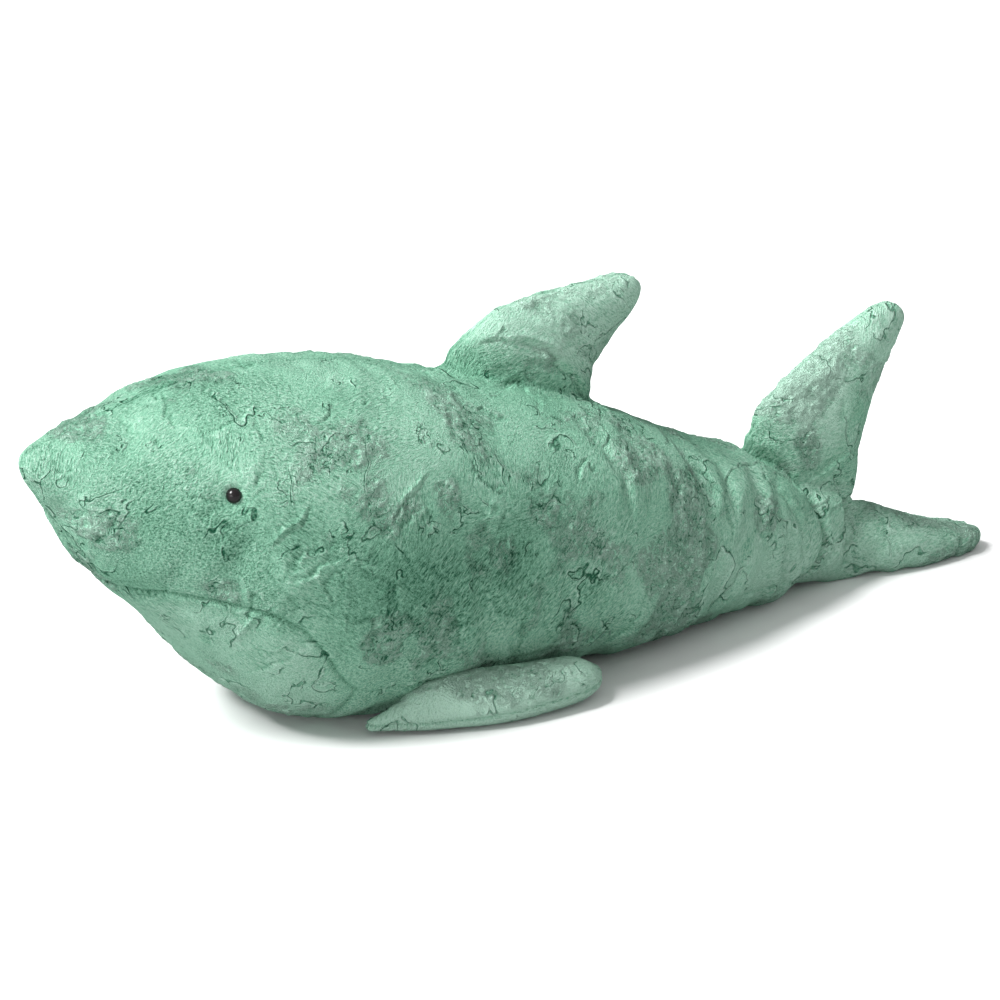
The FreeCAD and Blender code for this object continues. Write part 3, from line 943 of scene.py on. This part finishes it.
def body_relief(places):
    """Height of the body's pile, seams and folds, with what the material needs."""
    x, _, z = places.T
    height, extras = crushed_pile(places, 100)
    distances = seam_distances(places)
    # Behind the chin the mouth's seam goes on as the belly's, which is shallower and paler.
    belly = smooth_step(212, 250, x)
    grooves = {                                     # depth, width and shade
        "mouth": (1.8 - 0.8 * belly, 1.8, 0.55 - 0.4 * belly),
        "tail": (4.5, 4.0, 0.6),
        "middle": (1.2, 2.2, 0.5),
        "throat": (1.5, 2.6, 0.5),
        "dorsal": (1.4, 4.0, 0.3),
    }
    for k, (name, (depth, width, dark)) in enumerate(grooves.items()):
        height += seam_groove(distances[name], places, depth, width, 201 + 2 * k)
        extras["seam"] = np.maximum(extras["seam"], dark * seam_shade(distances[name]))
    fins = fin_share(places)
    extras["tone_and_painted_light"] += painted_light_and_shade(places, fins, distances["mouth"])
    extras["rough"] *= 1 - 0.7 * fins
    # Just ahead of the tail's seam the body bulges over it.
    height += TAIL_BULGE * bell(distances["tail"], -16, 10) * smooth_step(135, 95, z)
    return height + fold_relief(places, 400), extras


def fuller(places):
    """Fill out, or draw in, the form near the places in FULLER, alike on both sides."""
    for (x, z), reach, move in FULLER.values():
        away = np.linalg.norm(places - np.array((x, 0, z)), axis=1)
        ones = np.ones(len(places))
        outward = np.stack([ones, np.tanh(places[:, 1] / 8), ones], axis=1)
        places = places + bell(away, 0, reach)[:, None] * np.array(move) * outward
    return places


DIP = 2.6               # how far under the bead's seat the cloth goes, millimetres
DIP_RISE = (2.2, 5.0, 9.5)          # what it rises again, between these distances
DIP_FADE = (7.5, 24.0)  # between these it comes back to its own form
DIP_REACH = (40, 30)    # along the bead's axis and away from it


def dent_for_eyes(places):
    """The cloth dips round each bead, which its stem and washer pull in."""
    rise, rise_from, rise_to = DIP_RISE
    for side in (-1, 1):
        at = np.array((EYE_AT[0], side * EYE_AT[1], EYE_AT[2]))
        axis = np.array((EYE_AXIS[0], side * EYE_AXIS[1], EYE_AXIS[2]))
        axis /= np.linalg.norm(axis)
        local = places - at
        high = local @ axis
        radius = np.linalg.norm(local - high[:, None] * axis, axis=1)
        here = (np.abs(high) < DIP_REACH[0]) & (radius < DIP_REACH[1])
        pulled = 1 - smooth_step(*DIP_FADE, radius)
        target = rise * smooth_step(rise_from, rise_to, radius) - DIP
        places = places + np.where(here, pulled * (target - high), 0)[:, None] * axis
    return places


def make_body():
    places, triangles = build_body()
    height, extras = body_relief(places)
    places = places + height[:, None] * normals_of(places, triangles)
    places = laid_down(dent_for_eyes(fuller(places)))
    normals = normals_of(places, triangles)
    region = region_of(places[triangles].mean(axis=1))
    made = {}
    for name, nodes in SOFT_NODES.items():
        made[name] = panel(name, to_metres(places), normals, triangles[region == name], extras)
        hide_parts(*nodes)
    return made


def root_direction(ends):
    """The way up from a fin's bending line, and how far along it the line itself is, metres."""
    (x0, z0), (x1, z1) = ends
    length = np.hypot(x1 - x0, z1 - z0)
    up = ((z0 - z1) / length, 0.0, (x1 - x0) / length)
    start = ((x0 - HALF_LENGTH) * up[0] + z0 * up[2]) * MM
    return up, start


skins = make_body()
dorsal_up, dorsal_line = root_direction(DORSAL_ROOT)
upper_up, upper_line = root_direction(UPPER_ROOT)
for side in ("_left", "_right"):
    bend(skins["side_skin" + side], "body", "tail_root", *TAIL_BEND)
    bend(skins["tail_root_skin" + side], "body", "tail_root", *TAIL_BEND)
    bend(skins["dorsal_skin" + side], "body", "dorsal_fin", dorsal_up,
         dorsal_line + DORSAL_BEND[0], dorsal_line + DORSAL_BEND[1])
    bend(skins["upper_lobe_skin" + side], "tail_root", "upper_lobe", upper_up,
         upper_line + UPPER_BEND[0], upper_line + UPPER_BEND[1])
    bend(skins["lower_lobe_skin" + side], "tail_root", "lower_lobe", *LOWER_BEND)
bend(skins["belly_skin"], "body", "tail_root", *TAIL_BEND)
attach(skins["chin_skin"], "body")


# ---- Pectoral fins -------------------------------------------------------------------------
FIN_CROWN = 10.0        # how much higher the stuffing makes the fin beside the body


def pectoral_seam(places):
    return distance_over(places[:, 0], places[:, 2], PECTORAL_SEAM)


def fin_form(places):
    """The stuffed fin is highest beside the body, and runs out to a point under the chin."""
    x, y, z = places.T
    upper = smooth_step(8, 26, z)
    beside = smooth_step(150, 112, np.abs(y))
    front = smooth_step(292, 238, x)
    rear = smooth_step(425, 468, x)
    crown = FIN_CROWN * bell(x, 318, 62) * beside * upper
    return np.stack([x + 8 * front - 7 * rear, y - 5 * front * np.sign(y),
                     z * (1 - 0.45 * front) + crown - 3 * rear * upper], axis=1)


def make_pectoral(side):
    name = "pectoral_" + side
    panels = {
        "upper": [name + "_panel_upper"],
        "lower": [name + "_panel_lower", name + "_stuffing"],
    }
    skin = skin_over("fin", panels["upper"] + panels["lower"], 0)
    places, triangles = fine_skin(skin, 6)
    places = fin_form(places)
    places, triangles = cut(places, triangles, pectoral_seam(places))
    height, extras = crushed_pile(places, 300)
    seam = pectoral_seam(places)
    height = 0.7 * height + seam_groove(seam, places, 1.6, 1.8, 305)
    extras["seam"] = 0.7 * seam_shade(seam)
    # The fin is painted lighter all over: painted light where the body shades it.
    extras["tone_and_painted_light"] += 1.5
    places = laid_down(places + height[:, None] * normals_of(places, triangles))
    normals = normals_of(places, triangles)
    above = pectoral_seam(places[triangles].mean(axis=1)) > 0
    across = (0, -1 if side == "left" else 1, 0)
    for half, faces in (("upper", triangles[above]), ("lower", triangles[~above])):
        obj = panel(name + "_skin_" + half, to_metres(places), normals, faces, extras)
        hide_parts(*panels[half])
        bend(obj, "body", "pectoral_fin_" + side, across, *PECTORAL_BEND)


for side in ("left", "right"):
    make_pectoral(side)

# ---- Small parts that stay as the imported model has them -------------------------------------
bead = bead_material()
washer = plain_material("washer_plastic", dark=(0.60, 0.60, 0.57, 1), light=(0.80, 0.80, 0.77, 1),
                        scale=300, roughness=0.45)
thread = plain_material("sewing_thread", dark=(0.10, 0.22, 0.16, 1), light=(0.20, 0.36, 0.28, 1),
                        scale=2200, roughness=0.75)
SMALL_PARTS = {
    "eye_bead_left": bead,
    "eye_bead_right": bead,
    "eye_washer_left": washer,
    "eye_washer_right": washer,
    "closing_stitches": thread,
}
for node, finish in SMALL_PARTS.items():
    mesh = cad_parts[node].data
    mesh.materials.clear()
    mesh.materials.append(finish)
    mesh.shade_smooth()

# ---- Camera, floor and light ---------------------------------------------------------------
CAMERA_AT = (-1.442, -1.964, 0.866)
CAMERA_AIM = (-0.056, 0.0, 0.139)
LENS = 106.7
FLOOR_REACH = 14.0
FLOOR_PALE = 0.5        # how much light the floor throws back
FLOOR_SEEN = 0.45       # what is added to that for the camera, so that the floor shows white
SKY_LIGHT = 0.46
SKY_SEEN = 0.54
SUNS = {                # towards each, strength and width
    "key": ((-0.80, 0.15, 1.0), 5.5, 0.4),
    "front": ((-1.0, -0.40, -0.03), 1.8, 0.9),
}


def place_camera():
    data = bpy.data.cameras.new("camera")
    data.sensor_width = 36
    data.lens = LENS
    camera = bpy.data.objects.new("camera", data)
    camera.location = CAMERA_AT
    looking = Vector(CAMERA_AIM) - Vector(CAMERA_AT)
    camera.rotation_euler = looking.to_track_quat("-Z", "Y").to_euler()
    bpy.context.scene.collection.objects.link(camera)
    bpy.context.scene.camera = camera


def seen_brighter(tree, value, extra):
    """A value, with something added when the camera looks straight at it."""
    paths = tree.nodes.new("ShaderNodeLightPath")
    return maths(tree, "MULTIPLY_ADD", paths.outputs["Is Camera Ray"], extra, value)


def lay_floor():
    low, high = -FLOOR_REACH, FLOOR_REACH
    corners = [(low, low, 0), (high, low, 0), (high, high, 0), (low, high, 0)]
    obj = new_object("floor", corners, [(0, 1, 2), (0, 2, 3)])
    made, tree, shader = surface("pale_floor", "ShaderNodeBsdfDiffuse")
    tree.links.new(seen_brighter(tree, FLOOR_PALE, FLOOR_SEEN), shader.inputs["Color"])
    obj.data.materials.append(made)


def hang_suns():
    for name, (toward, power, width) in SUNS.items():
        data = bpy.data.lights.new(name, "SUN")
        data.energy = power
        data.angle = width
        sun = bpy.data.objects.new(name, data)
        sun.rotation_euler = Vector(toward).to_track_quat("Z", "Y").to_euler()
        bpy.context.scene.collection.objects.link(sun)


def light_sky():
    world = bpy.data.worlds.new("world")
    bpy.context.scene.world = world
    world.use_nodes = True
    tree = world.node_tree
    background = tree.nodes["Background"]
    background.inputs["Color"].default_value = (1, 1, 1, 1)
    strength = seen_brighter(tree, SKY_LIGHT, SKY_SEEN)
    tree.links.new(strength, background.inputs["Strength"])


place_camera()
lay_floor()
hang_suns()
light_sky()
bpy.context.scene.view_settings.view_transform = "Standard"
